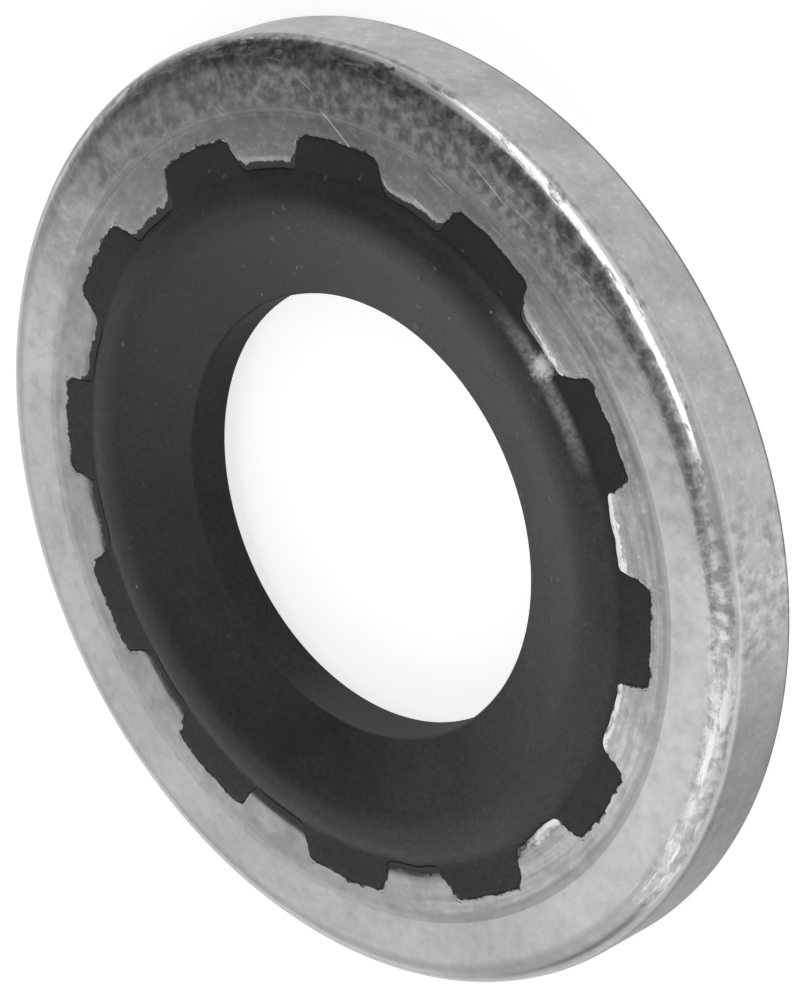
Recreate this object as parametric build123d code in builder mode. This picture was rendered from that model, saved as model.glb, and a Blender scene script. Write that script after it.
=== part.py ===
from build123d import *
from math import asin, atan2, cos, hypot, radians, sin
import os

# Bonded sealing washer, lying flat. A stamped steel ring carries a moulded rubber seal inside it.
# The seal is keyed into notches in the ring's bore and stands a little proud of both its faces.
# Sizes are in millimetres and angles in degrees. +Z is the washer's axis.
# The origin is on the axis, at the level of the surface that the washer lies on.

# ---------------------------------------------------------------- metal ring
ring_diameter = 27.0
ring_thickness = 2.4
face_roll_radius = 0.95         # the upper outer edge is drawn in by blanking: a wide arc on the face,
face_roll_angle = 40            # which turns down by this much,
edge_roll_radius = 0.6          # and then a tighter arc down to the cut edge
lower_edge_break = 0.08         # the lower outer edge is only tumbled
tooth_tip_diameter = 19.76      # circle through the inner ends of the teeth
tip_roll_width = 0.4            # drawn-in upper edge of the teeth, measured along the radius
tip_roll_depth = 0.1
land_margin = 0.65              # band that the mould pressed on each face, outside the notch roots
land_depth = 0.02
land_slope_width = 0.2

# ---------------------------------------------------------------- notches
notch_count = 12
notch_depth = 0.97              # from the tooth tips out to the roots
notch_mouth_width = 3.1         # straight across, at the tooth tips
notch_root_width = 2.7
root_corner_radius = 0.3
mouth_corner_radius = 0.22

# ---------------------------------------------------------------- rubber seal
bore_diameter = 12.6
lip_thickness = 1.3             # along the bore
lip_edge_bevel = 0.12
crest_inset = 0.93              # from the tooth tips in to the bead's crest
bead_height = 0.23              # above the ring's faces, on both sides
crown_inner_radius = 2.0        # the bead's crown, from its crest towards the bore
crown_limit = 0.8               # and its largest share of the widest arc that the face has room for
lug_overlap = 0.5               # how far the lugs run in under the bead

# ---------------------------------------------------------------- derived sizes
ring_radius = ring_diameter / 2
tooth_tip_radius = tooth_tip_diameter / 2
notch_root_radius = tooth_tip_radius + notch_depth
land_radius = notch_root_radius + land_margin
bore_radius = bore_diameter / 2
crest_radius = tooth_tip_radius - crest_inset
half_ring = ring_thickness / 2
half_lip = lip_thickness / 2
half_land = half_ring - land_depth
middle_height = bead_height + half_ring

# Every section is drawn about the washer's middle plane, with the radius to the right.
section_plane = Plane(origin=(0, 0, middle_height), x_dir=(1, 0, 0), z_dir=(0, -1, 0))
lower_land_plane = Plane.XY.offset(middle_height - half_land)
lower_face_plane = Plane.XY.offset(middle_height - half_ring)


# ---------------------------------------------------------------- notch outline
def axis_distance(corner):
    return hypot(corner.X, corner.Y)


# One notch is a wedge about +X that narrows towards its root. It reaches inwards past the tooth
# tips and outwards past the root, so that it can be cut to both circles.
wedge_inner_radius = tooth_tip_radius - lug_overlap
wedge_outer_radius = notch_root_radius + root_corner_radius
wedge_taper = (notch_mouth_width - notch_root_width) / notch_depth
wedge_inner_width = notch_mouth_width + wedge_taper * lug_overlap
wedge_outer_width = notch_root_width - wedge_taper * root_corner_radius

with BuildSketch() as notch_wedges:
    with PolarLocations(0, notch_count):
        Polygon(
            (wedge_inner_radius, -wedge_inner_width / 2),
            (wedge_outer_radius, -wedge_outer_width / 2),
            (wedge_outer_radius, wedge_outer_width / 2),
            (wedge_inner_radius, wedge_inner_width / 2),
            align=None,
        )
    Circle(notch_root_radius, mode=Mode.INTERSECT)

# The toothed opening that is pierced through the ring. The outermost corners are those of the
# notch roots, and the innermost are the corners of the teeth.
with BuildSketch() as toothed_opening:
    add(notch_wedges.sketch)
    Circle(tooth_tip_radius)
    root_corners = toothed_opening.vertices().group_by(axis_distance)[-1]
    fillet(root_corners, root_corner_radius)
    tooth_corners = toothed_opening.vertices().group_by(axis_distance)[0]
    fillet(tooth_corners, mouth_corner_radius)

# The lugs fill the notches. Inside the tooth tips they run on inwards as straight strips, as wide
# as the space between the rounded corners of two teeth.
mouth_ends = toothed_opening.vertices().group_by(axis_distance)[0]
first_mouth_end = mouth_ends.sort_by(lambda corner: atan2(abs(corner.Y), corner.X))[0]
lug_mouth_width = 2 * abs(first_mouth_end.Y)
strip_length = wedge_outer_radius - wedge_inner_radius

with BuildSketch() as lug_outline:
    with PolarLocations(wedge_inner_radius, notch_count):
        Rectangle(strip_length, lug_mouth_width, align=(Align.MIN, Align.CENTER))
    add(toothed_opening.sketch, mode=Mode.INTERSECT)


# ---------------------------------------------------------------- metal ring
# The rolled outer edge is two arcs that meet at the roll angle and share their tangent there.
roll_turn = radians(face_roll_angle)
joint_height = half_ring - face_roll_radius * (1 - cos(roll_turn))
joint_radius = ring_radius - edge_roll_radius * (1 - sin(roll_turn))
edge_roll_start = (ring_radius, joint_height - edge_roll_radius * cos(roll_turn))
roll_joint = (joint_radius, joint_height)
face_roll_start = (joint_radius - face_roll_radius * sin(roll_turn), half_ring)

# The section is turned first, and the toothed opening is pierced through it afterwards.
with BuildPart() as metal_ring:
    with BuildSketch(section_plane):
        with BuildLine():
            lower_side = Polyline(
                (tooth_tip_radius, -half_land),
                (land_radius - land_slope_width, -half_land),
                (land_radius, -half_ring),
                (ring_radius - lower_edge_break, -half_ring),
                (ring_radius, -half_ring + lower_edge_break),
                edge_roll_start,
            )
            RadiusArc(edge_roll_start, roll_joint, -edge_roll_radius)
            RadiusArc(roll_joint, face_roll_start, -face_roll_radius)
            upper_side = Polyline(
                face_roll_start,
                (land_radius, half_ring),
                (land_radius - land_slope_width, half_land),
                (tooth_tip_radius + tip_roll_width, half_land),
            )
            tip_roll = TangentArc(
                upper_side @ 1,
                (tooth_tip_radius, half_land - tip_roll_depth),
                tangent=(-1, 0),
            )
            Line(tip_roll @ 1, lower_side @ 0)
        make_face()
    revolve(axis=Axis.Z)
    with BuildSketch(lower_face_plane):
        add(toothed_opening.sketch)
    extrude(amount=ring_thickness, mode=Mode.SUBTRACT)

# ---------------------------------------------------------------- rubber seal
# The bead's crown is two arcs that meet at the crest. The outer one comes down on the tooth tips:
# above, on the lower edge of their roll, and below, on their sharp edge.
crest_height = half_ring + bead_height
upper_foot_height = half_land - tip_roll_depth
lower_foot_height = half_land

# The inner arc runs into a straight dish, tangent to it, which falls to the lip. The widest arc
# is the one that would reach the lip itself and leave no straight dish.
dish_run = crest_radius - bore_radius
dish_fall = crest_height - half_lip
widest_arc_radius = (dish_run**2 + dish_fall**2) / (2 * dish_fall)
inner_arc_radius = min(crown_inner_radius, crown_limit * widest_arc_radius)
centre_rise = dish_fall - inner_arc_radius
dish_angle = atan2(centre_rise, dish_run) + asin(inner_arc_radius / hypot(dish_run, centre_rise))
dish_end_radius = crest_radius - inner_arc_radius * sin(dish_angle)
dish_end_height = crest_height - inner_arc_radius * (1 - cos(dish_angle))

with BuildPart() as rubber_seal:
    with BuildSketch(section_plane):
        with BuildLine():
            for side, foot_height in ((1, upper_foot_height), (-1, lower_foot_height)):
                crown_drop = crest_height - foot_height
                crown_outer_radius = (crest_inset**2 + crown_drop**2) / (2 * crown_drop)
                dish_end = (dish_end_radius, side * dish_end_height)
                crest = (crest_radius, side * crest_height)
                Line((bore_radius, side * half_lip), dish_end)
                RadiusArc(dish_end, crest, side * inner_arc_radius)
                RadiusArc(crest, (tooth_tip_radius, side * foot_height), side * crown_outer_radius)
            Line((bore_radius, -half_lip), (bore_radius, half_lip))
            Line((tooth_tip_radius, -lower_foot_height), (tooth_tip_radius, upper_foot_height))
        section = make_face()
        lip_corners = section.vertices().group_by(Axis.X)[0]
        chamfer(lip_corners, lip_edge_bevel)
    revolve(axis=Axis.Z)
    with BuildSketch(lower_land_plane):
        add(lug_outline.sketch)
    extrude(amount=2 * half_land)
    add(metal_ring.part, mode=Mode.SUBTRACT)

# ---------------------------------------------------------------- output
metal_ring.part.label = "metal_ring"
metal_ring.part.color = Color(0.66, 0.66, 0.66)
rubber_seal.part.label = "rubber_seal"
rubber_seal.part.color = Color(0.03, 0.03, 0.03)

os.makedirs("parts", exist_ok=True)
export_step(metal_ring.part, "parts/metal_ring.step")
export_step(rubber_seal.part, "parts/rubber_seal.step")
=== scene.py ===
# %% [markdown]
# # A bonded sealing washer
# The real object is a stamped, zinc-plated steel ring with a black rubber seal moulded into its
# bore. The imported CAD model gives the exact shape, but it is made of flat triangles, which would
# show in the polished edge. Here both pieces are made again as fine, smooth meshes of the same
# size, and the plating and the rubber get their finish. Blender works in metres. The washer's
# lengths are in millimetres and are turned into metres where a mesh, node or camera is made.

from math import atan2, cos, hypot, pi, radians, sin, sqrt, tan
from types import SimpleNamespace

import bpy
from mathutils import Matrix, Vector


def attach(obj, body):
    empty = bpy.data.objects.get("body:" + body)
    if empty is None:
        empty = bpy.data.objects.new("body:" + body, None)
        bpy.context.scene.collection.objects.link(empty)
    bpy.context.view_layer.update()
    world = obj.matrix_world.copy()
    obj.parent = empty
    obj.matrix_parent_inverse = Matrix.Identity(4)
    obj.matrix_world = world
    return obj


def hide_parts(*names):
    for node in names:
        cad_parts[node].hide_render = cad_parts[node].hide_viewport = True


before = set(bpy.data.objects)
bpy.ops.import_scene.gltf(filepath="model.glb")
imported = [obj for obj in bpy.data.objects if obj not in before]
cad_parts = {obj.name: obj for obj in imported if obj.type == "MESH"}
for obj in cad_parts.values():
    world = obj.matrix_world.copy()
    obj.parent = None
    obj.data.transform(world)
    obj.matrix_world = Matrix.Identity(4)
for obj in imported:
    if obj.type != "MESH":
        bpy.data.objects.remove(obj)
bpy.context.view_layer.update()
MM = 0.001


def new_object(name, data):
    """Puts a mesh, lamp or camera into the scene."""
    made = bpy.data.objects.new(name, data)
    bpy.context.scene.collection.objects.link(made)
    return made


print("CAD nodes:", sorted(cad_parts))

# %% [markdown]
# ## The washer's sizes
# These are the sizes of the CAD source, so that the fine pieces fill the places of the coarse
# ones. One of them differs: the band that the mould pressed into each face, called the land in
# the names below, is 0.01 mm deep here, not 0.02 mm, because the step at its end would catch too
# much light. All heights are above the surface that the washer lies on.

# %% Sizes of the steel ring
RING_RADIUS = 13.5
RING_BOTTOM = 0.23
RING_TOP = 2.63
LAND_BOTTOM = 0.24
LAND_TOP = 2.62
LAND_SLOPE_START = 11.3
LAND_RADIUS = 11.5
FACE_ROLL_RADIUS = 0.95
EDGE_ROLL_RADIUS = 0.6
ROLL_TURN = radians(40)
LOWER_EDGE_BREAK = 0.08
TIP_RADIUS = 9.88
TIP_ROLL_WIDTH = 0.4
TIP_ROLL_DEPTH = 0.1
print("steel ring:", 2 * RING_RADIUS, "mm across,", round(RING_TOP - RING_BOTTOM, 3), "mm thick")

# %% Sizes of the notches
NOTCHES = 12
ROOT_RADIUS = 10.85
MOUTH_HALF_WIDTH = 1.55
ROOT_HALF_WIDTH = 1.35
TOOTH_CORNER = 0.22
ROOT_CORNER = 0.3
HALF_SECTOR = pi / NOTCHES
print("one sector spans", round(360 / NOTCHES, 1), "degrees")

# %% Sizes of the rubber seal
BORE_RADIUS = 6.3
LIP_TOP = 2.08
LIP_ROUND = 0.12
CREST_RADIUS = 8.95
CREST_TOP = 2.86
INNER_ARC = 2.0
DISH_ANGLE = radians(18.56)
BEAD_RIM = 9.62
LUG_STRIP_HALF_WIDTH = 1.75
print("rubber seal: bore", 2 * BORE_RADIUS, "mm, bead", CREST_TOP, "mm high")

# %% [markdown]
# ## The outline of one notch
# Twelve equal notches repeat round the bore, so only one sector of 30 degrees is drawn: half a
# tooth, a notch, and half a tooth. Its outline is straight sides and circles joined by small
# rounds. A round's centre is one radius away from both of the lines that it joins, which is a
# quadratic equation. The outline is walked in short steps, and each step keeps the direction
# that points into the steel, because the edges are rounded off along it.

# %% Centres of the corner rounds
side_length = hypot(ROOT_RADIUS - TIP_RADIUS, MOUTH_HALF_WIDTH - ROOT_HALF_WIDTH)
side_x = (ROOT_RADIUS - TIP_RADIUS) / side_length
side_y = (ROOT_HALF_WIDTH - MOUTH_HALF_WIDTH) / side_length
into_steel = (-side_y, side_x)


def round_centre(offset, distance):
    """The point at this offset from the notch's side and at this distance from the axis."""
    start_x = TIP_RADIUS + into_steel[0] * offset
    start_y = MOUTH_HALF_WIDTH + into_steel[1] * offset
    along = start_x * side_x + start_y * side_y
    rest = start_x**2 + start_y**2 - distance**2
    walk = -along + sqrt(along**2 - rest)
    return start_x + side_x * walk, start_y + side_y * walk


tooth_centre = round_centre(TOOTH_CORNER, TIP_RADIUS + TOOTH_CORNER)
root_centre = round_centre(-ROOT_CORNER, ROOT_RADIUS - ROOT_CORNER)
print("corner centres:", tooth_centre, root_centre)


# %% Walk the outline
TIP_STEPS = 9
CORNER_STEPS = 7
SIDE_STEPS = 5
ROOT_STEPS = 8


def arc_steps(centre, radius, start, end, steps, outwards):
    """Points of an arc with the directions that point into the steel.

    Outwards is 1 where the steel lies outside the arc's circle and -1 where it lies inside.
    """
    points = []
    for step in range(steps + 1):
        angle = start + (end - start) * step / steps
        away = (cos(angle), sin(angle))
        point = (centre[0] + radius * away[0], centre[1] + radius * away[1])
        points.append((point, (outwards * away[0], outwards * away[1])))
    return points


def half_outline():
    """From the middle of a tooth to the middle of the notch, on the side of positive Y."""
    tooth_angle = atan2(tooth_centre[1], tooth_centre[0])
    root_angle = atan2(root_centre[1], root_centre[0])
    side_angle = atan2(into_steel[1], into_steel[0])
    tip = arc_steps((0, 0), TIP_RADIUS, HALF_SECTOR, tooth_angle, TIP_STEPS, 1)
    tooth = arc_steps(tooth_centre, TOOTH_CORNER, tooth_angle - pi, side_angle - pi, CORNER_STEPS, -1)
    root_corner = arc_steps(root_centre, ROOT_CORNER, side_angle, root_angle, CORNER_STEPS, 1)
    root = arc_steps((0, 0), ROOT_RADIUS, root_angle, 0, ROOT_STEPS, 1)
    start, end = tooth[-1][0], root_corner[0][0]
    side = []
    for step in range(1, SIDE_STEPS):
        share = step / SIDE_STEPS
        point = (start[0] + (end[0] - start[0]) * share, start[1] + (end[1] - start[1]) * share)
        side.append((point, into_steel))
    return tip + tooth[1:] + side + root_corner + root[1:]


half = half_outline()
mirrored = [((x, -y), (nx, -ny)) for (x, y), (nx, ny) in half[-2::-1]]
outline = half + mirrored
print("stations along one sector:", len(outline))

# %% [markdown]
# Every station of the outline also gets its own angle on the full circles of the ring. The angles
# are shared out by the distance walked, so that the mesh fans out evenly from the notch.

# %% Angles of the stations
walked = [0.0]
for (point, _), (previous, _) in zip(outline[1:], outline):
    walked.append(walked[-1] + hypot(point[0] - previous[0], point[1] - previous[1]))
station_angles = [HALF_SECTOR * (1 - 2 * length / walked[-1]) for length in walked]
print("outline length of a sector:", round(walked[-1], 3), "mm")

# %% [markdown]
# ## One sector of each piece
# A sector is a grid. Each ring of the grid says where all the stations are, and the rings follow
# each other round the section until the last one meets the first, which closes the surface.


# %% Build a sector from its rings
def circle_rings(circles):
    """One ring of the grid for each circle's radius and height."""
    directions = [(cos(angle), sin(angle)) for angle in station_angles]
    return [[(radius * x, radius * y, height) for x, y in directions] for radius, height in circles]


def sector_mesh(name, rings, nearness=()):
    """A closed section of rings, left open only at the two ends of the sector."""
    stations = len(outline)
    vertices = [tuple(value * MM for value in point) for ring in rings for point in ring]
    faces = []
    for row in range(len(rings)):
        this_row = row * stations
        next_row = (row + 1) % len(rings) * stations
        for column in range(stations - 1):
            corners = (this_row + column, this_row + column + 1)
            faces.append((*corners, next_row + column + 1, next_row + column))
    mesh = bpy.data.meshes.new(name)
    mesh.from_pydata(vertices, [], faces)
    if nearness:
        values = [value for value in nearness for _ in range(stations)]
        mesh.attributes.new("near_opening", "FLOAT", "POINT").data.foreach_set("value", values)
    print(name, "has", len(faces), "faces")
    return mesh


# %% Heights of the steel's upper side
TIP_SHELF = 2.585
SHELF_BLEND = 0.004


def steel_top(radius):
    """The punch draws the tooth tips down and leaves a narrow burnished shelf at the very tip."""
    roll_radius = (TIP_ROLL_WIDTH**2 + TIP_ROLL_DEPTH**2) / (2 * TIP_ROLL_DEPTH)
    inset = min(max(TIP_RADIUS + TIP_ROLL_WIDTH - radius, 0), TIP_ROLL_WIDTH)
    roll = LAND_TOP - roll_radius + sqrt(roll_radius**2 - inset**2)
    gap = (roll - TIP_SHELF) / 2
    return (roll + TIP_SHELF) / 2 + sqrt(gap**2 + SHELF_BLEND**2)


print("height of a tooth tip:", round(steel_top(TIP_RADIUS), 3), "mm")

# %% [markdown]
# No real edge is sharp. The pierced edges get a round of a few hundredths of a millimetre, which
# catches the light as a fine line. From there the rings fan out to the first full circle.

# %% Rings along the pierced opening
EDGE_ROUND = 0.035
FIRST_CIRCLE = 11.06
ROUND_STEPS = (0, 30, 60, 90)
FAN_SHARES = (0.05, 0.1, 0.15, 0.2, 0.26, 0.34, 0.45, 0.6, 0.78)
SUPPORT_OFFSETS = (0.05, 0.07, 0.09, 0.11, 0.14)


def offset_point(station, offset):
    (x, y), (nx, ny) = outline[station]
    return x + nx * offset, y + ny * offset


def edge_ring(turn, top):
    """One line of the rounded edge between the wall of the opening and the face."""
    ring = []
    for station in range(len(outline)):
        x, y = offset_point(station, EDGE_ROUND * (1 - cos(radians(turn))))
        drop = EDGE_ROUND * (1 - sin(radians(turn)))
        ring.append((x, y, steel_top(hypot(x, y)) - drop if top else LAND_BOTTOM + drop))
    return ring


def face_ring(offset, share, top):
    """A line between the rounded edge and the first full circle."""
    ring = []
    for station, angle in enumerate(station_angles):
        x, y = offset_point(station, offset)
        x += (FIRST_CIRCLE * cos(angle) - x) * share
        y += (FIRST_CIRCLE * sin(angle) - y) * share
        ring.append((x, y, steel_top(hypot(x, y)) if top else LAND_BOTTOM))
    return ring


opening_to_band = [edge_ring(turn, True) for turn in ROUND_STEPS]
opening_to_band += [face_ring(offset, 0, True) for offset in SUPPORT_OFFSETS]
opening_to_band += [face_ring(SUPPORT_OFFSETS[-1], share, True) for share in FAN_SHARES]
band_to_opening = [face_ring(SUPPORT_OFFSETS[-1], share, False) for share in FAN_SHARES[::-1]]
band_to_opening += [face_ring(offset, 0, False) for offset in SUPPORT_OFFSETS[::-1]]
band_to_opening += [edge_ring(turn, False) for turn in ROUND_STEPS[::-1]]
print("rings near the opening:", len(opening_to_band) + len(band_to_opening))

# %% [markdown]
# Moulded rubber creeps a little way over the metal round each notch. The steel's finish shows that
# as a ragged dark film, so each ring also keeps a number that says how near the opening it is.

# %% Nearness to the opening
NEARNESS_FALL = 4
FAN_NEARNESS = 0.4
near_edge = [1.0] * len(ROUND_STEPS) + [1 - NEARNESS_FALL * offset for offset in SUPPORT_OFFSETS]
near_face = [max(FAN_NEARNESS - NEARNESS_FALL * share, 0.0) for share in FAN_SHARES]
print("nearness from the edge outwards:", [round(near, 2) for near in near_edge + near_face])


# %% [markdown]
# Outside the first circle the ring is a plain turned shape, so its rings are circles. The mould
# pressed a shallow band into each face, which ends in a soft step, and blanking drew the upper
# outer edge in, which gives a wide arc and then a tighter one.

# %% Arcs and steps of the section
STEP_WIDTH = 0.2
STEP_SHARES = (-0.4, 0, 0.2, 0.4, 0.6, 0.8, 1, 1.4)


def soft_step(level, face):
    """Circles across the pressed band's end, from its level up or down to the ring's face."""
    circles = []
    for share in STEP_SHARES:
        blend = min(max(share, 0), 1)
        height = level + (face - level) * blend * blend * (3 - 2 * blend)
        circles.append((LAND_RADIUS + STEP_WIDTH * (share - 0.5), height))
    return circles


def arc_circles(centre_radius, centre_height, radius, start, end, steps):
    """Circles along an arc of the section. The angles are measured up from the outward radius."""
    circles = []
    for step in range(steps + 1):
        angle = start + (end - start) * step / steps
        circles.append((centre_radius + radius * cos(angle), centre_height + radius * sin(angle)))
    return circles


face_centre_height = RING_TOP - FACE_ROLL_RADIUS
edge_centre_radius = RING_RADIUS - EDGE_ROLL_RADIUS
centre_gap = FACE_ROLL_RADIUS - EDGE_ROLL_RADIUS
edge_centre_height = face_centre_height + centre_gap * cos(ROLL_TURN)
face_centre_radius = edge_centre_radius - centre_gap * sin(ROLL_TURN)
print("centres of the rolled edge's arcs:", round(face_centre_radius, 3), edge_centre_radius, "mm")

# %% Circles of the steel ring
FACE_RADII = (11.8, 12.1, 12.35, 12.55)
CUT_EDGE_HEIGHTS = (1.85, 1.55, 1.2, 0.85, 0.55, 0.38)
UNDERSIDE_RADII = (13.3, 12.8, 12.3, 11.9)
FACE_ROLL_STEPS = 8
EDGE_ROLL_STEPS = 9
EDGE_BREAK_STEPS = 4
roll_start = pi / 2
roll_join = pi / 2 - ROLL_TURN
break_radius = RING_RADIUS - LOWER_EDGE_BREAK
break_height = RING_BOTTOM + LOWER_EDGE_BREAK

steel_circles = [(FIRST_CIRCLE, LAND_TOP)]
steel_circles += soft_step(LAND_TOP, RING_TOP)
steel_circles += [(radius, RING_TOP) for radius in FACE_RADII]
steel_circles += arc_circles(
    face_centre_radius, face_centre_height, FACE_ROLL_RADIUS, roll_start, roll_join, FACE_ROLL_STEPS
)
steel_circles += arc_circles(
    edge_centre_radius, edge_centre_height, EDGE_ROLL_RADIUS, roll_join, 0, EDGE_ROLL_STEPS
)[1:]
steel_circles += [(RING_RADIUS, height) for height in CUT_EDGE_HEIGHTS]
steel_circles += arc_circles(
    break_radius, break_height, LOWER_EDGE_BREAK, 0, -pi / 2, EDGE_BREAK_STEPS
)
steel_circles += [(radius, RING_BOTTOM) for radius in UNDERSIDE_RADII]
steel_circles += soft_step(LAND_BOTTOM, RING_BOTTOM)[::-1]
steel_circles += [(FIRST_CIRCLE, LAND_BOTTOM)]
print("circles of the steel ring:", len(steel_circles))

# %% The steel sector
steel_rings = list(opening_to_band)
steel_rings += circle_rings(steel_circles)
steel_rings += band_to_opening
nearness = near_edge + near_face
steel_nearness = nearness + [0.0] * len(steel_circles) + nearness[::-1]
steel_sector = sector_mesh("steel_sector", steel_rings, steel_nearness)

# %% [markdown]
# The rubber's section is turned too, from the bore over the dish and the bead. From the bead's rim
# outwards its rings end on the same outline as the steel, so that the rubber fills each notch.
# A lug is level with the pressed band, and runs in to meet the bead between two teeth.

# %% Heights of the rubber
MIDDLE = CREST_TOP / 2
LUG_FOOT = 2.55
LUG_SIDE_START = 0.06
LUG_SIDE_WIDTH = 0.14
CROWN_POWER = 2.6
BLEND = 0.012


def bead_height(radius, foot):
    """The bead stays nearly level past its crest and then falls to its foot at the tooth tips."""
    share = (min(radius, TIP_RADIUS) - CREST_RADIUS) / (TIP_RADIUS - CREST_RADIUS)
    return CREST_TOP - (CREST_TOP - foot) * share**CROWN_POWER


def rubber_top(x, y):
    """The higher one of the bead and the lug, with a small blend between them."""
    bead = bead_height(hypot(x, y), LUG_FOOT)
    share = min(max((LUG_STRIP_HALF_WIDTH + LUG_SIDE_START - abs(y)) / LUG_SIDE_WIDTH, 0), 1)
    lug = LUG_FOOT + (LAND_TOP - LUG_FOOT) * share * share * (3 - 2 * share)
    return (bead + lug) / 2 + sqrt(((bead - lug) / 2)**2 + BLEND**2) - BLEND / 2


def rubber_bottom(x, y):
    bead = 2 * MIDDLE - bead_height(hypot(x, y), 2 * MIDDLE - LAND_BOTTOM)
    return min(bead, LAND_BOTTOM)


print("bead at the tooth tips:", round(bead_height(TIP_RADIUS, LUG_FOOT), 3), "mm")


# %% Circles of the rubber, from the bore to the bead's rim
WALL_HALF_HEIGHT = 0.3
LIP_SUPPORT = 0.06
DISH_RADII = (6.45, 6.7, 7.0, 7.3, 7.6, 7.9, 8.15)
LIP_STEPS = 5
CROWN_STEPS = 6
FLANK_STEPS = 7


def bead_circles(foot):
    """The upper half of the section, with the bead coming down to this foot."""
    corner_radius = BORE_RADIUS + LIP_ROUND
    corner_line = LIP_TOP + tan(DISH_ANGLE) * LIP_ROUND
    corner_height = corner_line - LIP_ROUND / cos(DISH_ANGLE)
    dish_normal = pi / 2 + DISH_ANGLE
    circles = [(BORE_RADIUS, MIDDLE + WALL_HALF_HEIGHT), (BORE_RADIUS, corner_height - LIP_SUPPORT)]
    circles += arc_circles(corner_radius, corner_height, LIP_ROUND, pi, dish_normal, LIP_STEPS)
    for radius in DISH_RADII:
        circles.append((radius, LIP_TOP + tan(DISH_ANGLE) * (radius - BORE_RADIUS)))
    circles += arc_circles(
        CREST_RADIUS, CREST_TOP - INNER_ARC, INNER_ARC, dish_normal, pi / 2, CROWN_STEPS
    )
    for step in range(1, FLANK_STEPS + 1):
        radius = CREST_RADIUS + (BEAD_RIM - CREST_RADIUS) * step / FLANK_STEPS
        circles.append((radius, bead_height(radius, foot)))
    return circles


upper_circles = bead_circles(LUG_FOOT)
lower_circles = [
    (radius, 2 * MIDDLE - height) for radius, height in bead_circles(2 * MIDDLE - LAND_BOTTOM)
]
print("circles of the seal:", len(upper_circles) + len(lower_circles))

# %% Rings of the lugs
LUG_SHARES = (0.03, 0.06, 0.09, 0.115, 0.14, 0.165, 0.2, 0.27, 0.4, 0.55, 0.7, 0.85, 1.0)
RUBBER_ROUND = 0.03
RUBBER_ROUND_STEPS = (30, 60, 90)


def lug_ring(share, height_at):
    """From the bead's rim out to just inside the notch outline."""
    ring = []
    for station, angle in enumerate(station_angles):
        end_x, end_y = offset_point(station, -RUBBER_ROUND)
        x = BEAD_RIM * cos(angle) * (1 - share) + end_x * share
        y = BEAD_RIM * sin(angle) * (1 - share) + end_y * share
        ring.append((x, y, height_at(x, y)))
    return ring


def lug_edge_ring(turn, height_at, side):
    """The rubber's own small round, down to where it touches the steel."""
    ring = []
    for station in range(len(outline)):
        x, y = offset_point(station, -RUBBER_ROUND * (1 - sin(radians(turn))))
        drop = RUBBER_ROUND * (1 - cos(radians(turn)))
        ring.append((x, y, height_at(x, y) - side * drop))
    return ring


# %% The rubber sector
rubber_rings = circle_rings(upper_circles)
rubber_rings += [lug_ring(share, rubber_top) for share in LUG_SHARES]
rubber_rings += [lug_edge_ring(turn, rubber_top, 1) for turn in RUBBER_ROUND_STEPS]
rubber_rings += [lug_edge_ring(turn, rubber_bottom, -1) for turn in RUBBER_ROUND_STEPS[::-1]]
rubber_rings += [lug_ring(share, rubber_bottom) for share in LUG_SHARES[::-1]]
rubber_rings += circle_rings(lower_circles[::-1])
rubber_sector = sector_mesh("rubber_sector", rubber_rings)


# %% [markdown]
# ## Materials
# A material is a graph of nodes. These short helpers add a node, join its inputs and hand back its
# output, so that a finish reads from top to bottom. Patterns are placed by the piece's own
# coordinates, turned into millimetres, so that their sizes are the real ones.

# %% Node helpers
def set_inputs(tree, node, inputs):
    """Gives each socket, by its name or number, a value or the output to join it to."""
    for socket, value in dict(inputs).items():
        if isinstance(value, bpy.types.NodeSocket):
            tree.links.new(value, node.inputs[socket])
        else:
            node.inputs[socket].default_value = value


def add_node(tree, kind, inputs=(), output=0, **settings):
    made = tree.nodes.new(kind)
    for name, value in settings.items():
        setattr(made, name, value)
    set_inputs(tree, made, inputs)
    return made.outputs[output]


def maths(tree, operation, *values):
    return add_node(tree, "ShaderNodeMath", dict(enumerate(values)), operation=operation)


def vector_maths(tree, operation, *values, output=0):
    inputs = dict(enumerate(values))
    return add_node(tree, "ShaderNodeVectorMath", inputs, output, operation=operation)


def scaled(tree, vector, scale):
    return add_node(tree, "ShaderNodeVectorMath", {0: vector, "Scale": scale}, operation="SCALE")


def ramp(tree, value, low, high, start=0.0, end=1.0):
    """Runs smoothly from start to end while the value goes from low to high."""
    inputs = {"Value": value, "From Min": low, "From Max": high, "To Min": start, "To Max": end}
    return add_node(tree, "ShaderNodeMapRange", inputs, interpolation_type="SMOOTHSTEP")


# %% [markdown]
# Both finishes are made of masks, which are 1 in one place, 0 elsewhere, and smooth between. A
# place is a stretch along the radius, a side of the washer, or both, which is the product of the
# two. The numbers of a side are the direction of its middle, and how far from it the mask starts
# and is full, all in degrees.

# %% Mask helpers
def product(tree, first, *others):
    for other in others:
        first = maths(tree, "MULTIPLY", first, other)
    return first


def inverse(tree, mask):
    return maths(tree, "SUBTRACT", 1.0, mask)


def without(tree, mask, other):
    """The mask, except where the other one is 1."""
    return maths(tree, "SUBTRACT", mask, product(tree, mask, other))


def strip(tree, value, start, full, fade, end):
    """1 while the value is between full and fade."""
    return product(tree, ramp(tree, value, start, full), ramp(tree, value, end, fade))


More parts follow.
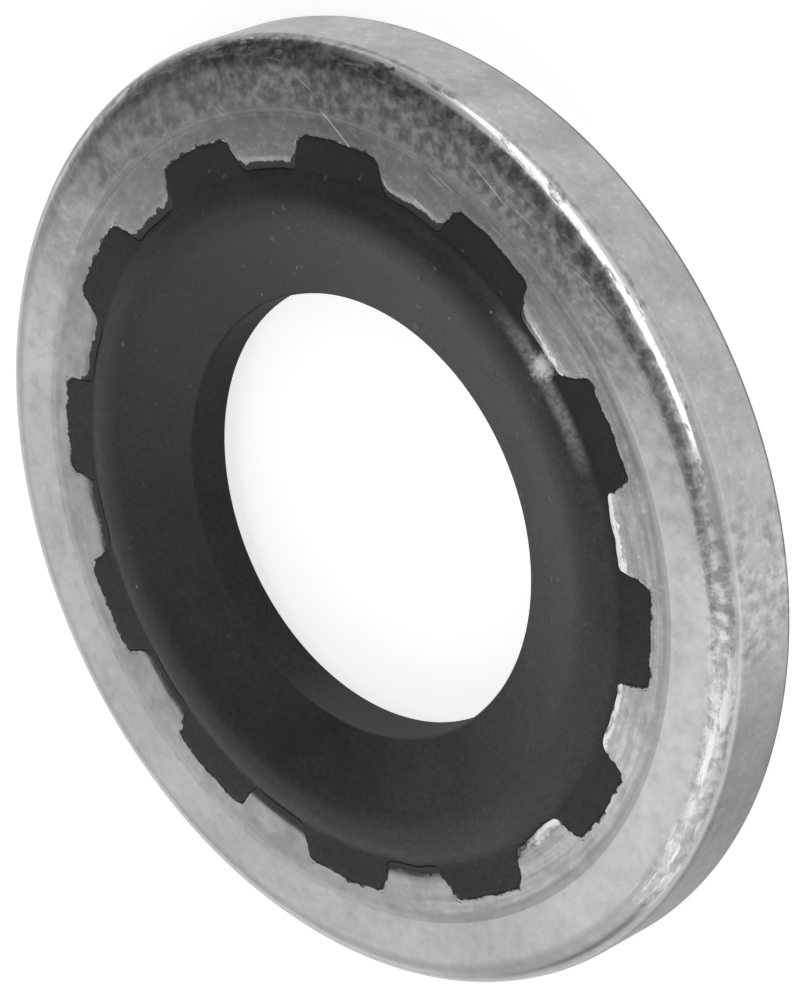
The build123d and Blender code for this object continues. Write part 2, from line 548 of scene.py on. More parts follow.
# %% Where a point is
def point_places(tree, sides):
    """The point, its distance and direction from the axis, and a mask for each side."""
    point = scaled(tree, add_node(tree, "ShaderNodeTexCoord", output="Object"), 1 / MM)
    x, y, z = add_node(tree, "ShaderNodeSeparateXYZ", {0: point}).node.outputs
    flat = add_node(tree, "ShaderNodeCombineXYZ", {0: x, 1: y})
    radius = vector_maths(tree, "LENGTH", flat, output="Value")
    heading = vector_maths(tree, "NORMALIZE", flat)
    on = SimpleNamespace(point=point, flat=flat, radius=radius, heading=heading, height=z)
    for name, (angle, starts, full) in sides.items():
        middle = (cos(radians(angle)), sin(radians(angle)), 0)
        nearness = vector_maths(tree, "DOT_PRODUCT", heading, middle, output="Value")
        setattr(on, name, ramp(tree, nearness, cos(radians(starts)), cos(radians(full))))
    return on


# %% [markdown]
# ## Plated steel
# Zinc plating on a stamped ring is not one even grey. The faces are smooth with soft clouds and
# fine scratches, and the band that the mould pressed is duller, with faint rings in it. The rolled
# edge is pitted, with its plating rubbed bright where rings knock together in the tumbling drum,
# and the cut edge is stained. Some places also have painted light: highlights on parts of the
# bright wear, and shade on parts of the roll and the cut edge, along the lower edge, just inside
# the rim and at the step where the pressed band ends.

# %% Sides of the ring
STEEL_SIDES = {
    "knocked_side": (30, 105, 55),
    "mottled_side": (44, 46, 31),
    "rubbed_rim": (22, 44, 30),
    "chafed_side": (-44, 27, 14),
    "rubbed_teeth": (-30, 56, 38),
    "stained_side": (-75, 52, 18),
    "flaked_patch": (-22, 12, 5),
    "pressed_side": (35, 90, 65),
    "marked_side": (-45, 72, 50),
    "shaded_side": (75, 38, 18),
    "shaded_rim": (103, 44, 22),
    "stepped_side": (65, 75, 35),
    "dull_side": (215, 85, 45),
}
print("sides of the ring:", len(STEEL_SIDES))


# %% Places on the steel
def steel_places(tree):
    """Masks for the parts of the ring that were worked in different ways, and for painted shade."""
    on = point_places(tree, STEEL_SIDES)
    radius = on.radius
    rim = RING_RADIUS
    band_end = LAND_RADIUS
    on.band = ramp(tree, radius, band_end, LAND_SLOPE_START - 0.1)
    # Painted shade of the step at the pressed band's end: a dark ring just inside it and a darker
    # line on the step.
    on.mould_line = strip(
        tree, radius, band_end - 0.35, band_end - 0.15, band_end + 0.02, band_end + 0.06
    )
    on.step = strip(tree, radius, band_end - 0.13, band_end - 0.05, band_end + 0.05, band_end + 0.13)
    on.cut = ramp(tree, radius, rim - 0.07, rim - 0.015)
    outside = ramp(tree, radius, face_centre_radius - 0.05, face_centre_radius + 0.25)
    on.roll = product(tree, outside, ramp(tree, on.cut, 1, 0))
    on.below_rim = ramp(tree, radius, rim - 0.07, rim - 0.16)
    on.rim_line = strip(tree, radius, rim - 0.36, rim - 0.24, rim - 0.15, rim - 0.07)
    # A dark line along the lower edge of the cut: painted shade.
    below = ramp(tree, on.height, RING_BOTTOM + 0.14, RING_BOTTOM + 0.08)
    on.lower_edge = product(tree, below, ramp(tree, radius, rim - 0.14, rim - 0.08))
    on.tooth_end = ramp(tree, radius, TIP_RADIUS + 0.5, TIP_RADIUS + 0.2)
    on.dull_teeth = inverse(tree, on.rubbed_teeth)
    level = maths(tree, "ABSOLUTE", maths(tree, "SUBTRACT", on.height, MIDDLE))
    on.faces = ramp(tree, level, 1.05, 1.1)
    knocked = product(tree, ramp(tree, radius, 11.0, 12.0), on.mottled_side)
    on.knocked_face = without(tree, knocked, on.cut)
    on.knocked_roll = product(tree, on.roll, on.knocked_side, on.below_rim)
    return on


# %% [markdown]
# Three kinds of pattern cover all of the wear: plain noise in several sizes, noise that is
# stretched round the axis, as turning and rubbing leave it, and straight scratches.

# %% Noise and streaks
def noise(tree, vector, scale, detail, roughness, seed):
    inputs = {"Vector": vector, "W": seed, "Scale": scale, "Detail": detail, "Roughness": roughness}
    return add_node(tree, "ShaderNodeTexNoise", inputs, noise_dimensions="4D")


def rings_of_streaks(tree, on, streaks_per_mm, change, detail, seed):
    """Noise that is stretched round the axis: fine across the radius and long round it."""
    across = maths(tree, "MULTIPLY", on.radius, streaks_per_mm)
    rise = add_node(tree, "ShaderNodeCombineXYZ", {2: across})
    stretched = vector_maths(tree, "ADD", rise, scaled(tree, on.heading, change))
    return noise(tree, stretched, 1.0, detail, 0.6, seed)


# %% Cells and scratches
def random_cells(tree, vector):
    """Cells of one unit: the distance from each cell's middle, and a random number for each."""
    inputs = {"Vector": vector, "Scale": 1.0}
    cells = add_node(tree, "ShaderNodeTexVoronoi", inputs).node.outputs
    return cells["Distance"], add_node(tree, "ShaderNodeSeparateColor", {0: cells["Color"]})


def scratches(tree, point, angle, length, width, seed):
    """Straight fine scratches. Each is one cell of a pattern that is stretched along the scratch."""
    inputs = {
        "Vector": vector_maths(tree, "MULTIPLY", point, (1, 1, 0)),
        "Location": (seed, 0, 0),
        "Rotation": (0, 0, radians(angle)),
        "Scale": (length, width, 1.0),
    }
    turned = add_node(tree, "ShaderNodeMapping", inputs, vector_type="TEXTURE")
    distance, chosen = random_cells(tree, turned)
    return product(tree, ramp(tree, distance, 0.22, 0.05), ramp(tree, chosen, 0.4, 0.9))


# %% Patterns of the steel
# Grains per mm, detail, roughness and seed.
STEEL_NOISES = {
    "clouds": (0.5, 4, 0.55, 1.0),
    "mottle": (2.0, 5, 0.65, 2.0),
    "speckle": (3.0, 4, 0.6, 3.0),
    "waves": (0.7, 2, 0.5, 4.0),
    "stains": (1.1, 5, 0.6, 7.0),
    "pits": (8.0, 4, 0.65, 13.0),
    "rags": (4.5, 3, 0.6, 15.0),
    "flecks": (6.0, 4, 0.65, 31.0),
}
# Streaks per mm of radius, how fast they change round the axis, detail and seed.
STEEL_STREAKS = {
    "streaks": (3.6, 12.0, 4, 8.0),
    "chips": (5.0, 16.0, 5, 9.0),
    "fine_streaks": (6.0, 3.5, 3, 17.0),
    "lanes": (3.4, 6.5, 5, 19.0),
}
SCRATCH_RIM = 12.9


def largest(tree, first, *others):
    for other in others:
        first = maths(tree, "MAXIMUM", first, other)
    return first


def steel_patterns(tree, on):
    pattern = SimpleNamespace()
    for name, settings in STEEL_NOISES.items():
        setattr(pattern, name, noise(tree, on.point, *settings))
    for name, settings in STEEL_STREAKS.items():
        setattr(pattern, name, rings_of_streaks(tree, on, *settings))
    long_lines = scratches(tree, on.point, -67, 5.0, 0.24, 10.0)
    short_lines = scratches(tree, on.point, -58, 2.5, 0.18, 21.0)
    lines = largest(tree, long_lines, product(tree, short_lines, 0.6))
    lines = product(tree, lines, product(tree, on.mottled_side, 0.9))
    inside_rim = ramp(tree, on.radius, SCRATCH_RIM, SCRATCH_RIM - 0.2)
    pattern.scratches = product(tree, lines, inside_rim)
    return pattern


print("patterns of the steel:", len(STEEL_NOISES) + len(STEEL_STREAKS), "and scratches")


# %% [markdown]
# The colour starts as the plating's own grey. Each tint below multiplies it by a factor in one
# place: under 1 where the plating is dull or dirty and where shade is painted, and over 1 where it is
# clean.

# %% Tints
def mix_values(tree, factor, first, second):
    """The first value where the factor is 0 and the second where it is 1."""
    return add_node(tree, "ShaderNodeMix", {"Factor": factor, "A": first, "B": second})


def tinted(tree, colour, *tints):
    """Multiplies the colour by a factor in each place. A tint is a mask and its factor."""
    for mask, factor in tints:
        colour = product(tree, colour, mix_values(tree, mask, 1.0, factor))
    return colour


# %% Colour of the faces, with painted shade at the step
PLATING_DARK = 0.56
PLATING_LIGHT = 0.65


def face_colour(tree, on, pattern):
    """The plating's clouds, the band that the mould pressed, and painted shade at the band's end."""
    colour = ramp(tree, pattern.clouds, 0.3, 0.7, PLATING_DARK, PLATING_LIGHT)
    colour = tinted(
        tree, colour,
        (ramp(tree, pattern.mottle, 0.5, 0.72), 0.91),
        (on.dull_side, 0.82),
    )
    colour = product(tree, colour, ramp(tree, pattern.speckle, 0.3, 0.7, 0.93, 1.06))
    dull_band = product(tree, on.band, ramp(tree, pattern.stains, 0.35, 0.6, 1.0, 0.5))
    dull_band = largest(tree, dull_band, product(tree, on.band, on.pressed_side))
    marked_band = product(tree, on.band, on.marked_side)
    return tinted(
        tree, colour,
        (dull_band, ramp(tree, pattern.streaks, 0.42, 0.66, 0.66, 0.75)),
        (marked_band, ramp(tree, pattern.fine_streaks, 0.36, 0.64, 0.94, 1.25)),
        (marked_band, ramp(tree, pattern.mottle, 0.4, 0.6, 0.94, 1.08)),
        # Painted shade along the step at the band's end, darker on two sides of the ring.
        (product(tree, on.mould_line, on.marked_side), 0.74),
        (product(tree, on.step, on.stepped_side), 0.45),
        (on.mould_line, 0.94),
        (product(tree, on.tooth_end, on.dull_teeth), 0.72),
    )


# %% Colour of the knocked side, the roll and the cut edge, with painted shade
def edge_colour(tree, colour, on, pattern):
    flecks = largest(tree, product(tree, on.band, on.knocked_side), product(tree, on.cut, 0.6))
    flakes = product(tree, on.flaked_patch, ramp(tree, pattern.stains, 0.4, 0.55))
    return tinted(
        tree, colour,
        (on.knocked_face, ramp(tree, pattern.speckle, 0.34, 0.66, 0.6, 0.94)),
        (on.knocked_roll, ramp(tree, pattern.speckle, 0.38, 0.62, 0.78, 1.4)),
        # Painted shade on part of the roll and on the line just inside the rim.
        (product(tree, on.roll, on.shaded_side), 0.55),
        (product(tree, on.rim_line, on.shaded_rim), 0.45),
        # Painted shade: the roll is darker away from the knocked side.
        (without(tree, on.roll, on.knocked_side), 0.72),
        # The cut edge is darker, with stains in it; part of this darkening is painted shade.
        (on.cut, ramp(tree, pattern.stains, 0.35, 0.65, 0.77, 0.66)),
        (product(tree, flecks, ramp(tree, pattern.flecks, 0.52, 0.68)), 1.3),
        # Painted shade on the cut edge towards one side, broken up by noise.
        (product(tree, on.cut, on.stained_side), ramp(tree, pattern.mottle, 0.35, 0.65, 0.46, 0.58)),
        (product(tree, on.cut, flakes), ramp(tree, pattern.speckle, 0.36, 0.64, 0.84, 1.26)),
        # Painted shade along the lower edge.
        (on.lower_edge, 0.4),
    )


# %% [markdown]
# Where other rings rubbed the plating it is bright: along the rim, in chips and chafed lanes on
# the roll, at the tooth tips and in the scratches. On the rim, in the lanes and at the tooth tips the
# brightness is also a painted highlight. The film of rubber is the opposite. It starts at the
# opening, ends in a ragged line, and lies further out on the teeth that were not rubbed, where it
# is painted shade on the tips.

# %% Bright wear with painted highlights, and the film of rubber with painted shade on the tips
def steel_wear_and_highlights(tree, on, pattern):
    chips = pattern.chips
    wear = SimpleNamespace()
    # Bright wear on the rim, in the chafed lanes and at the tooth tips, which is also a painted
    # highlight on the sides where it lies.
    wear.rubbed = product(tree, on.rim_line, on.rubbed_rim, ramp(tree, chips, 0.38, 0.48))
    knocks = product(tree, on.knocked_roll, ramp(tree, chips, 0.54, 0.62), 0.5)
    lanes = ramp(tree, pattern.lanes, 0.52, 0.58)
    wear.chafed = product(tree, on.roll, on.chafed_side, lanes, on.below_rim)
    ragged_tip = maths(tree, "ADD", on.radius, product(tree, pattern.flecks, 0.7))
    tooth = ramp(tree, ragged_tip, TIP_RADIUS + 0.61, TIP_RADIUS + 0.55)
    tooth = product(tree, tooth, on.faces, on.rubbed_teeth)
    wear.tooth = product(tree, tooth, ramp(tree, chips, 0.38, 0.5))
    wear.bright = largest(tree, wear.rubbed, wear.chafed, wear.tooth, pattern.scratches, knocks)
    return wear


def rubber_film_and_tip_shade(tree, on, pattern, wear):
    near = add_node(tree, "ShaderNodeAttribute", output="Fac", attribute_name="near_opening")
    ragged = maths(tree, "ADD", pattern.rags, product(tree, near, 0.5))
    # On the teeth that were not rubbed the dark film reaches over the tips: painted shade.
    teeth = product(tree, on.dull_teeth, ramp(tree, on.radius, 10.3, 10.05))
    ragged = maths(tree, "ADD", ragged, product(tree, teeth, 0.4))
    return without(tree, ramp(tree, ragged, 0.87, 0.97), wear.tooth)


# %% Roughness of the steel
def layered(tree, value, *layers):
    """Replaces the value by another one in each place. A layer is a mask and its value."""
    for mask, level in layers:
        value = mix_values(tree, mask, value, level)
    return value


def steel_roughness(tree, on, pattern, wear, film):
    rough = ramp(tree, pattern.mottle, 0.35, 0.7, 0.11, 0.2)
    rough = maths(tree, "ADD", rough, ramp(tree, pattern.speckle, 0.3, 0.7, -0.02, 0.03))
    knocked = ramp(tree, pattern.speckle, 0.36, 0.64, 0.17, 0.23)
    return layered(
        tree, rough,
        (on.band, 0.24),
        (on.knocked_face, knocked),
        (on.roll, 0.26),
        (on.cut, 0.4),
        (wear.rubbed, 0.2),
        (wear.chafed, 0.3),
        (wear.tooth, 0.2),
        (film, 0.6),
    )


# %% [markdown]
# The relief is far too fine for the mesh, so bump nodes make it: long waves, pits on the roll and
# the cut edge, dents in the chafed lanes, and the scratches.

# %% Relief of the steel
def bump(tree, height, depth, below=None):
    """Relief of this depth in millimetres, on top of the relief below it."""
    inputs = {"Strength": 1.0, "Distance": depth * MM, "Height": height}
    if below:
        inputs["Normal"] = below
    return add_node(tree, "ShaderNodeBump", inputs)


def steel_relief(tree, on, pattern, wear):
    relief = bump(tree, pattern.waves, 0.01)
    shaded = largest(tree, on.shaded_side, on.shaded_rim)
    smooth = largest(tree, wear.rubbed, product(tree, shaded, 0.75))
    worked = without(tree, on.knocked_roll, smooth)
    worked = largest(tree, worked, product(tree, on.cut, 0.2))
    pitted = maths(tree, "ADD", pattern.pits, product(tree, pattern.chips, 0.6))
    pitted = product(tree, pitted, mix_values(tree, worked, 0.15, 1.3))
    relief = bump(tree, pitted, 0.006, relief)
    dents = product(tree, pattern.lanes, product(tree, on.roll, on.chafed_side))
    relief = bump(tree, dents, 0.04, relief)
    fine = maths(tree, "SUBTRACT", pattern.speckle, pattern.scratches)
    return bump(tree, fine, 0.0008, relief)


# %% An empty material
def new_material(name):
    """An empty material with one shader."""
    material = bpy.data.materials.new(name)
    material.use_nodes = True
    tree = material.node_tree
    tree.nodes.clear()
    shader = tree.nodes.new("ShaderNodeBsdfPrincipled")
    output = tree.nodes.new("ShaderNodeOutputMaterial")
    tree.links.new(shader.outputs["BSDF"], output.inputs["Surface"])
    return material, tree, shader


def grey(tree, value):
    return add_node(tree, "ShaderNodeCombineColor", dict.fromkeys(("Red", "Green", "Blue"), value))


# %% The steel finish
BARE_METAL_HIGHLIGHT = 0.9
RUBBER_GREY = 0.035


def plated_steel():
    material, tree, shader = new_material("plated_steel")
    on = steel_places(tree)
    pattern = steel_patterns(tree, on)
    wear = steel_wear_and_highlights(tree, on, pattern)
    film = rubber_film_and_tip_shade(tree, on, pattern, wear)
    colour = face_colour(tree, on, pattern)
    colour = edge_colour(tree, colour, on, pattern)
    # Bright wear with painted highlights, and the dark film with painted shade on the tips.
    colour = layered(tree, colour, (wear.bright, BARE_METAL_HIGHLIGHT), (film, RUBBER_GREY))
    set_inputs(tree, shader, {
        "Base Color": grey(tree, colour),
        "Metallic": inverse(tree, film),
        "Roughness": steel_roughness(tree, on, pattern, wear, film),
        "Normal": steel_relief(tree, on, pattern, wear),
    })
    return material


steel = plated_steel()
print("material:", steel.name, "with", len(steel.node_tree.nodes), "nodes")


# %% [markdown]
# ## Moulded rubber
# The seal is a dense black rubber with a satin face. Its lugs, which the mould pressed against
# the steel, are duller than the bead. A painted highlight runs along the bead's foot on one side,
# with a painted glint beside one tooth. Painted shade darkens the dish on the far side, the outer
# bead at the top, some lugs and the bore's far wall; its near wall has a painted highlight. Faint
# marks and a little dust lie on the rest.

# %% Sides of the seal, and where the painted highlight and the painted glint are
RUBBER_SIDES = {
    "chalky_side": (9, 16, 4),
    "shaded_side": (20, 60, 25.84),
    "marked_side": (45, 120, 78.46),
    "clean_top": (70, 53.13, 25.84),
    "wall_far_side": (155, 78.46, 25.84),
    "clean_side": (160, 107.46, 66.42),
    "dull_side": (205, 78.46, 41.41),
    "wall_near_side": (265, 53.13, 25.84),
}
GLINT_RADIUS = 9.75
GLINT_ANGLE = radians(12)
glint_middle = (GLINT_RADIUS * cos(GLINT_ANGLE), GLINT_RADIUS * sin(GLINT_ANGLE), 0)
print("the smear is at", [round(value, 2) for value in glint_middle[:2]], "mm")


# %% Places and patterns of the rubber
def rubber_places(tree):
    on = point_places(tree, RUBBER_SIDES)
    radius = on.radius
    on.lug = ramp(tree, radius, BEAD_RIM, TIP_RADIUS)
    on.wall = ramp(tree, radius, BORE_RADIUS + 0.1, BORE_RADIUS + 0.02)
    on.off_wall = inverse(tree, on.wall)
    on.flank = strip(tree, radius, 9.2, 9.45, 9.7, 9.8)
    on.grain = noise(tree, on.point, 7.0, 4, 0.65, 6.0)
    on.clouds = noise(tree, on.point, 0.6, 4, 0.6, 5.0)
    return on


def highlight_and_glint(tree, on):
    """A painted highlight in a streak along the bead's foot, and a soft-edged painted glint at its
    end.
    """
    flank_highlight = product(tree, strip(tree, on.radius, 9.3, 9.55, 9.62, 9.82), on.chalky_side)
    flank_highlight = product(tree, flank_highlight, ramp(tree, on.grain, 0.3, 0.65, 0.3, 1.0))
    distance = vector_maths(tree, "DISTANCE", on.flat, glint_middle, output="Value")
    distance = maths(tree, "ADD", distance, noise(tree, on.point, 5.0, 4, 0.6, 25.0))
    return flank_highlight, ramp(tree, distance, 0.95, 0.55)


def dust_and_marks(tree, on):
    """Dust is one small dot in some cells of a pattern. The marks are the peaks of a noise."""
    distance, chosen = random_cells(tree, on.point)
    dust = product(tree, ramp(tree, distance, 0.055, 0.03), ramp(tree, chosen, 0.45, 0.5))
    dust = product(tree, dust, ramp(tree, on.wall, 1, 0, 0, 0.7))
    peaks = ramp(tree, noise(tree, on.point, 2.6, 2, 0.5, 27.0), 0.66, 0.74)
    marked = product(tree, on.off_wall, mix_values(tree, on.marked_side, 0.25, 1.0))
    return dust, product(tree, peaks, marked)


# %% Colour and roughness of the rubber
RUBBER_DARK = 0.028
RUBBER_LIGHT = 0.04
WALL_HIGHLIGHT = 0.1
FLANK_HIGHLIGHT = 0.26
GLINT = 0.8
MARKS = 0.09
DUST = 0.4


def rubber_colour(tree, on, dust, marks):
    colour = ramp(tree, on.clouds, 0.3, 0.7, RUBBER_DARK, RUBBER_LIGHT)
    colour = product(tree, colour, ramp(tree, on.grain, 0.3, 0.7, 0.7, 1.35))
    # The wall of the bore is lighter than the rest, and darker on its far side, which is painted
    # shade.
    wall_tint = mix_values(tree, on.wall_far_side, 1.3, 0.8)
    colour = tinted(tree, colour, (on.lug, 0.8), (on.wall, wall_tint))
    # A painted highlight on the near side of the bore's wall.
    wall_highlight = product(tree, on.wall, on.wall_near_side)
    # A painted highlight along the bead's foot and a painted glint beside one tooth.
    flank_highlight, glint = highlight_and_glint(tree, on)
    colour = layered(
        tree, colour, (wall_highlight, WALL_HIGHLIGHT), (dust, DUST), (flank_highlight, FLANK_HIGHLIGHT), (glint, GLINT)
    )
    # Painted shade: the lugs on one side, the dish on the far side, and the outer bead and lugs at
    # the top are darker.
    lugs = product(tree, ramp(tree, on.radius, 9.7, 9.85), on.shaded_side)
    dish = product(tree, on.clean_side, ramp(tree, on.radius, 9.3, 8.6))
    dish = product(tree, dish, on.off_wall)
    foot = product(tree, on.clean_top, ramp(tree, on.radius, 8.9, 9.2))
    colour = tinted(tree, colour, (lugs, 0.55), (dish, 0.55), (foot, 0.55))
    return mix_values(tree, marks, colour, MARKS)


def rubber_roughness(tree, on, dust):
    rough = ramp(tree, on.clouds, 0.3, 0.7, 0.42, 0.52)
    crest = product(tree, ramp(tree, on.radius, 8.7, 9.2), on.dull_side)
    return layered(
        tree, rough, (on.flank, 0.56), (crest, 0.62), (on.lug, 0.68), (on.wall, 0.9), (dust, 0.9)
    )


# %% The rubber finish
def black_rubber():
    material, tree, shader = new_material("black_rubber")
    on = rubber_places(tree)
    dust, marks = dust_and_marks(tree, on)
    colour = rubber_colour(tree, on, dust, marks)
    set_inputs(tree, shader, {
        "Base Color": grey(tree, colour),
        "Roughness": rubber_roughness(tree, on, dust),
        "Normal": bump(tree, on.grain, 0.006),
    })
    return material


rubber = black_rubber()
print("material:", rubber.name, "with", len(rubber.node_tree.nodes), "nodes")


# %% [markdown]
# ## Twelve sectors make a ring
# A Geometry Nodes tree sets one sector out round the axis, makes real geometry of the copies and
# joins them where they touch. Then it gives the surface a very slight unevenness, as stamped and
# moulded pieces have, and lets the outline of the notches wobble, so that no two are quite the
# same. The tree's inputs carry the sizes, so both pieces use the same tree.

# %% Inputs of the tree
RING_SIZES = {
    "Join distance": 0.0005 * MM,
    "Wave height": 0.012 * MM,
    "Waves per metre": 0.35 / MM,
    "Seed": 1.0,
    "Wobble": 0.3 * MM,
    "Wobbles per metre": 0.9 / MM,
    "Wobble start": (TIP_RADIUS - 0.4) * MM,
    "Tooth tips": (TIP_RADIUS - 0.1) * MM,
    "Notch roots": (ROOT_RADIUS + 0.1) * MM,
    "Wobble end": LAND_SLOPE_START * MM,
}
SEAL_SIZES = {**RING_SIZES, "Wave height": 0.02 * MM, "Seed": 2.0}
TREE_INPUTS = {
    "Sector": "Geometry", "Count": "Int", **dict.fromkeys(RING_SIZES, "Float"), "Finish": "Material",
}
print("inputs of the tree:", ", ".join(TREE_INPUTS))


# %% The sector tree
def set_round_the_axis(tree, given):
    """Copies the sector round the axis and joins the copies into one surface."""
    points = add_node(tree, "GeometryNodePoints", {"Count": given["Count"]})
    step = maths(tree, "DIVIDE", 2 * pi, given["Count"])
    angle = maths(tree, "MULTIPLY", add_node(tree, "GeometryNodeInputIndex"), step)
    turn = add_node(tree, "FunctionNodeAxisAngleToRotation", {"Axis": (0, 0, 1), "Angle": angle})
    inputs = {"Points": points, "Instance": given["Sector"], "Rotation": turn}
    copies = add_node(tree, "GeometryNodeInstanceOnPoints", inputs)
    real = add_node(tree, "GeometryNodeRealizeInstances", {"Geometry": copies})
    inputs = {"Geometry": real, "Distance": given["Join distance"]}
    return add_node(tree, "GeometryNodeMergeByDistance", inputs)


def surface_waves(tree, given):
    """A shift along the surface's own direction, in long low waves."""
    place = add_node(tree, "GeometryNodeInputPosition")
    waves = noise(tree, place, given["Waves per metre"], 2.0, 0.5, given["Seed"])
    height = maths(tree, "MULTIPLY", maths(tree, "SUBTRACT", waves, 0.5), given["Wave height"])
    return scaled(tree, add_node(tree, "GeometryNodeInputNormal"), height)


def outline_wobble(tree, given):
    """A level shift near the notches, the same at every height, so that both pieces still meet."""
    place = vector_maths(tree, "MULTIPLY", add_node(tree, "GeometryNodeInputPosition"), (1, 1, 0))
    distance = vector_maths(tree, "LENGTH", place, output="Value")
    inside = ramp(tree, distance, given["Wobble start"], given["Tooth tips"])
    outside = ramp(tree, distance, given["Notch roots"], given["Wobble end"], 1, 0)
    inputs = {"Vector": place, "Scale": given["Wobbles per metre"], "Detail": 2.0}
    wobble = add_node(tree, "ShaderNodeTexNoise", inputs, output="Color", noise_dimensions="3D")
    wobble = vector_maths(tree, "SUBTRACT", wobble, (0.5, 0.5, 0.5))
    wobble = vector_maths(tree, "MULTIPLY", wobble, (1, 1, 0))
    return scaled(tree, wobble, product(tree, inside, outside, given["Wobble"]))


def sectors_tree():
    tree = bpy.data.node_groups.new("sectors_round_the_axis", "GeometryNodeTree")
    for name, kind in TREE_INPUTS.items():
        tree.interface.new_socket(name, in_out="INPUT", socket_type="NodeSocket" + kind)
    tree.interface.new_socket("Piece", in_out="OUTPUT", socket_type="NodeSocketGeometry")
    given = tree.nodes.new("NodeGroupInput").outputs
    result = tree.nodes.new("NodeGroupOutput").inputs
    surface = set_round_the_axis(tree, given)
    for shift in (surface_waves(tree, given), outline_wobble(tree, given)):
        surface = add_node(tree, "GeometryNodeSetPosition", {"Geometry": surface, "Offset": shift})
    smooth = add_node(tree, "GeometryNodeSetShadeSmooth", {0: surface})
    inputs = {"Geometry": smooth, "Material": given["Finish"]}
    finished = add_node(tree, "GeometryNodeSetMaterial", inputs)
    tree.links.new(finished, result["Piece"])
    return tree


ring_tree = sectors_tree()
print("nodes in the tree:", len(ring_tree.nodes))


# %% Make the pieces
def full_ring(name, sector, finish, sizes):
    """Runs the tree on a sector and keeps the result as a plain mesh."""
    source = new_object(name + "_source", sector)
    modifier = source.modifiers.new("sectors", "NODES")
    modifier.node_group = ring_tree
    values = {"Count": NOTCHES, **sizes, "Finish": finish}
    for item in ring_tree.interface.items_tree:
        if item.in_out == "INPUT" and item.name in values:
            modifier[item.identifier] = values[item.name]
    depsgraph = bpy.context.evaluated_depsgraph_get()
    mesh = bpy.data.meshes.new_from_object(source.evaluated_get(depsgraph))
    bpy.data.objects.remove(source)
    mesh.name = name
    print(name, "has", len(mesh.polygons), "faces and", len(mesh.vertices), "points")
    return new_object(name, mesh)


plated_ring = full_ring("plated_ring", steel_sector, steel, RING_SIZES)
moulded_seal = full_ring("moulded_seal", rubber_sector, rubber, SEAL_SIZES)

# %% Put them in the frame
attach(plated_ring, "root")
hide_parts("metal_ring")
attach(moulded_seal, "root")
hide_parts("rubber_seal")
print("pieces:", plated_ring.name, moulded_seal.name)

# %% [markdown]
# ## Camera
# The camera looks down on the washer from one side, close to it, with a long lens. It is turned
# about its own line of sight, so that the washer seems to stand on edge.

# %% Place the camera
AIM = Vector((2.697, 0.039, 2.63))
CAMERA_AZIMUTH = radians(2.43)
CAMERA_ELEVATION = radians(42.18)
CAMERA_SPIN = radians(-23.44)
CAMERA_DISTANCE = 111.35
LENS = 150.6


def towards(azimuth, elevation):
    """The direction from the washer to a point on the sky."""
    level = cos(elevation)
    return Vector((level * cos(azimuth), level * sin(azimuth), sin(elevation)))


camera_data = bpy.data.cameras.new("camera")
camera_data.lens = LENS
camera_data.sensor_width = 36
camera_data.clip_start = 0.005
camera_data.clip_end = 20
camera = new_object("camera", camera_data)
camera.matrix_world = (
    Matrix.Translation((AIM + towards(CAMERA_AZIMUTH, CAMERA_ELEVATION) * CAMERA_DISTANCE) * MM)
    @ Matrix.Rotation(CAMERA_AZIMUTH, 4, "Z")
    @ Matrix.Rotation(pi / 2 - CAMERA_ELEVATION, 4, "Y")
    @ Matrix.Rotation(CAMERA_SPIN, 4, "Z")
)
bpy.context.scene.camera = camera
print("camera at", [round(value / MM, 2) for value in camera.location])

# %% [markdown]
# ## Floor and light
# The floor is white and very large. Metal looks like what it mirrors, so the light matters as much
# as the finish: one large soft lamp behind the washer, a narrow one high on the camera's side, and
# a pale room with darker places on its walls and ceiling. A low white backdrop goes all round.


# %% Floor
FLOOR_HALF = 2.0
FLOOR_GREY = 0.5
FLOOR_GLOW = 0.76


def pale_floor():
    """Grey paper that looks white, to the camera and in mirrors, and still takes a shadow."""
    material, tree, shader = new_material("pale_floor")
    seen = add_node(tree, "ShaderNodeLightPath").node.outputs
    direct = largest(tree, seen["Is Camera Ray"], seen["Is Glossy Ray"], seen["Is Transmission Ray"])
    set_inputs(tree, shader, {
        "Base Color": (FLOOR_GREY, FLOOR_GREY, FLOOR_GREY, 1),
        "Roughness": 0.9,
        "Specular IOR Level": 0.0,
        "Emission Color": (1, 1, 1, 1),
        "Emission Strength": product(tree, direct, FLOOR_GLOW),
    })
    return material


floor_mesh = bpy.data.meshes.new("floor")
signs = ((-1, -1), (1, -1), (1, 1), (-1, 1))
corners = [(FLOOR_HALF * x, FLOOR_HALF * y, 0) for x, y in signs]
floor_mesh.from_pydata(corners, [], [(0, 1, 2, 3)])
floor_mesh.materials.append(pale_floor())
floor = new_object("floor", floor_mesh)
print("floor:", 2 * FLOOR_HALF, "m square")


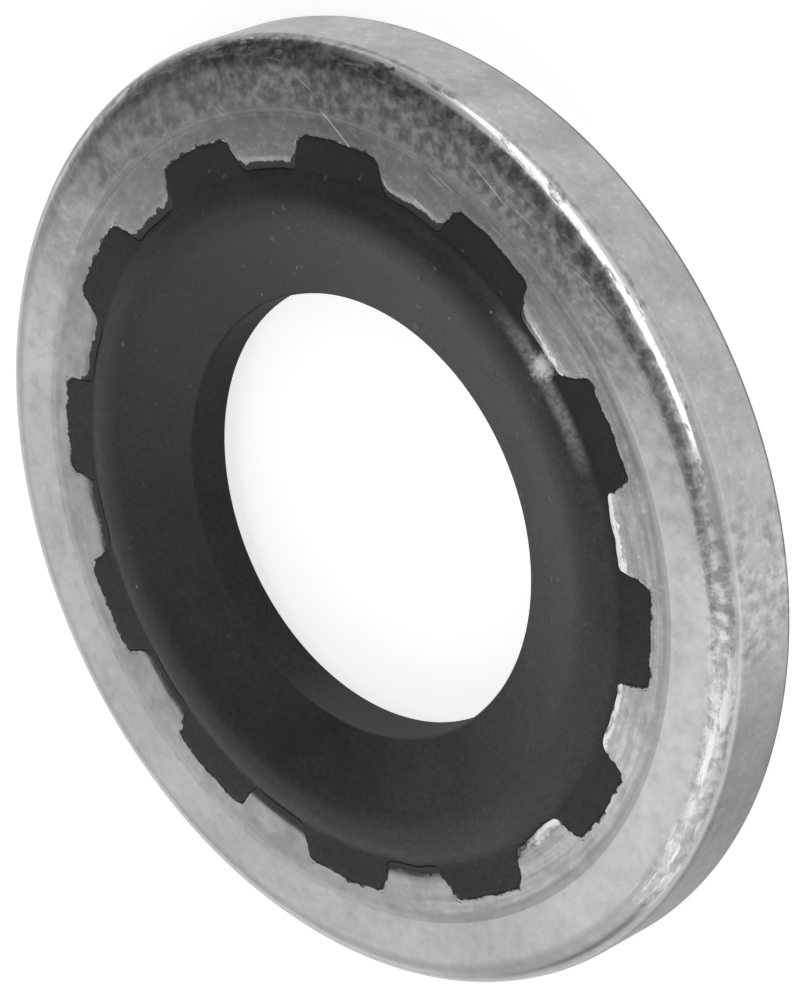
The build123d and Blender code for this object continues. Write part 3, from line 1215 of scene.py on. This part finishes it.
# %% Lamps
def soft_lamp(name, azimuth, elevation, distance, width, height, strength, tilt):
    """A rectangular lamp that faces the washer. Strength 1 looks white in a mirror."""
    data = bpy.data.lights.new(name, "AREA")
    data.shape = "RECTANGLE"
    data.size = width
    data.size_y = height
    data.energy = strength * pi * width * height
    lamp = new_object(name, data)
    azimuth, elevation = radians(azimuth), radians(elevation)
    lamp.matrix_world = (
        Matrix.Translation(towards(azimuth, elevation) * distance)
        @ Matrix.Rotation(azimuth + pi / 2, 4, "Z")
        @ Matrix.Rotation(pi / 2 - elevation, 4, "X")
        @ Matrix.Rotation(radians(tilt), 4, "Z")
    )
    print(name, "lamp, strength", strength)


soft_lamp(
    "large", azimuth=202, elevation=27.5, distance=0.45, width=0.66, height=0.42, strength=0.78,
    tilt=41,
)
soft_lamp(
    "strip", azimuth=42, elevation=49, distance=0.4, width=0.54, height=0.042, strength=4.0,
    tilt=-35,
)


# %% World
ROOM_LIGHT = 0.6
ROOM_PLACES = {
    "behind the large lamp": (200, 22, 30, 46, 0.15),
    "far side and ceiling": (150, 58, 28, 50, 0.15),
    "unlit corner": (122, 32, 20, 44, 0.17),
    "person at the camera": (-26, 50, 12, 34, 0.3),
    "ceiling above the camera": (15, 70, 5, 16, 0.6),
    "pale wall": (-98, 48, 12, 30, 1.0),
}
BACKDROP_TOP = radians(4.5)
BACKDROP_FADES = radians(8)


def studio():
    """A pale room behind a low white backdrop.

    Each place in the room has an azimuth, an elevation, the radius up to which it is full, the
    radius at which it ends, and its own light.
    """
    world = bpy.data.worlds.new("studio")
    world.use_nodes = True
    tree = world.node_tree
    tree.nodes.clear()
    direction = add_node(tree, "ShaderNodeTexCoord", output="Generated")
    light = ROOM_LIGHT
    for azimuth, elevation, inner, outer, level in ROOM_PLACES.values():
        middle = tuple(towards(radians(azimuth), radians(elevation)))
        nearness = vector_maths(tree, "DOT_PRODUCT", direction, middle, output="Value")
        mask = ramp(tree, nearness, cos(radians(outer)), cos(radians(inner)))
        light = mix_values(tree, mask, light, level)
    height = add_node(tree, "ShaderNodeSeparateXYZ", {0: direction}).node.outputs["Z"]
    backdrop = ramp(tree, height, sin(BACKDROP_FADES), sin(BACKDROP_TOP))
    light = mix_values(tree, backdrop, light, 1.0)
    background = add_node(tree, "ShaderNodeBackground", {"Color": grey(tree, light)})
    output = tree.nodes.new("ShaderNodeOutputWorld")
    tree.links.new(background, output.inputs["Surface"])
    return world


bpy.context.scene.world = studio()
bpy.context.scene.view_settings.view_transform = "Standard"
print("places in the room:", ", ".join(ROOM_PLACES))
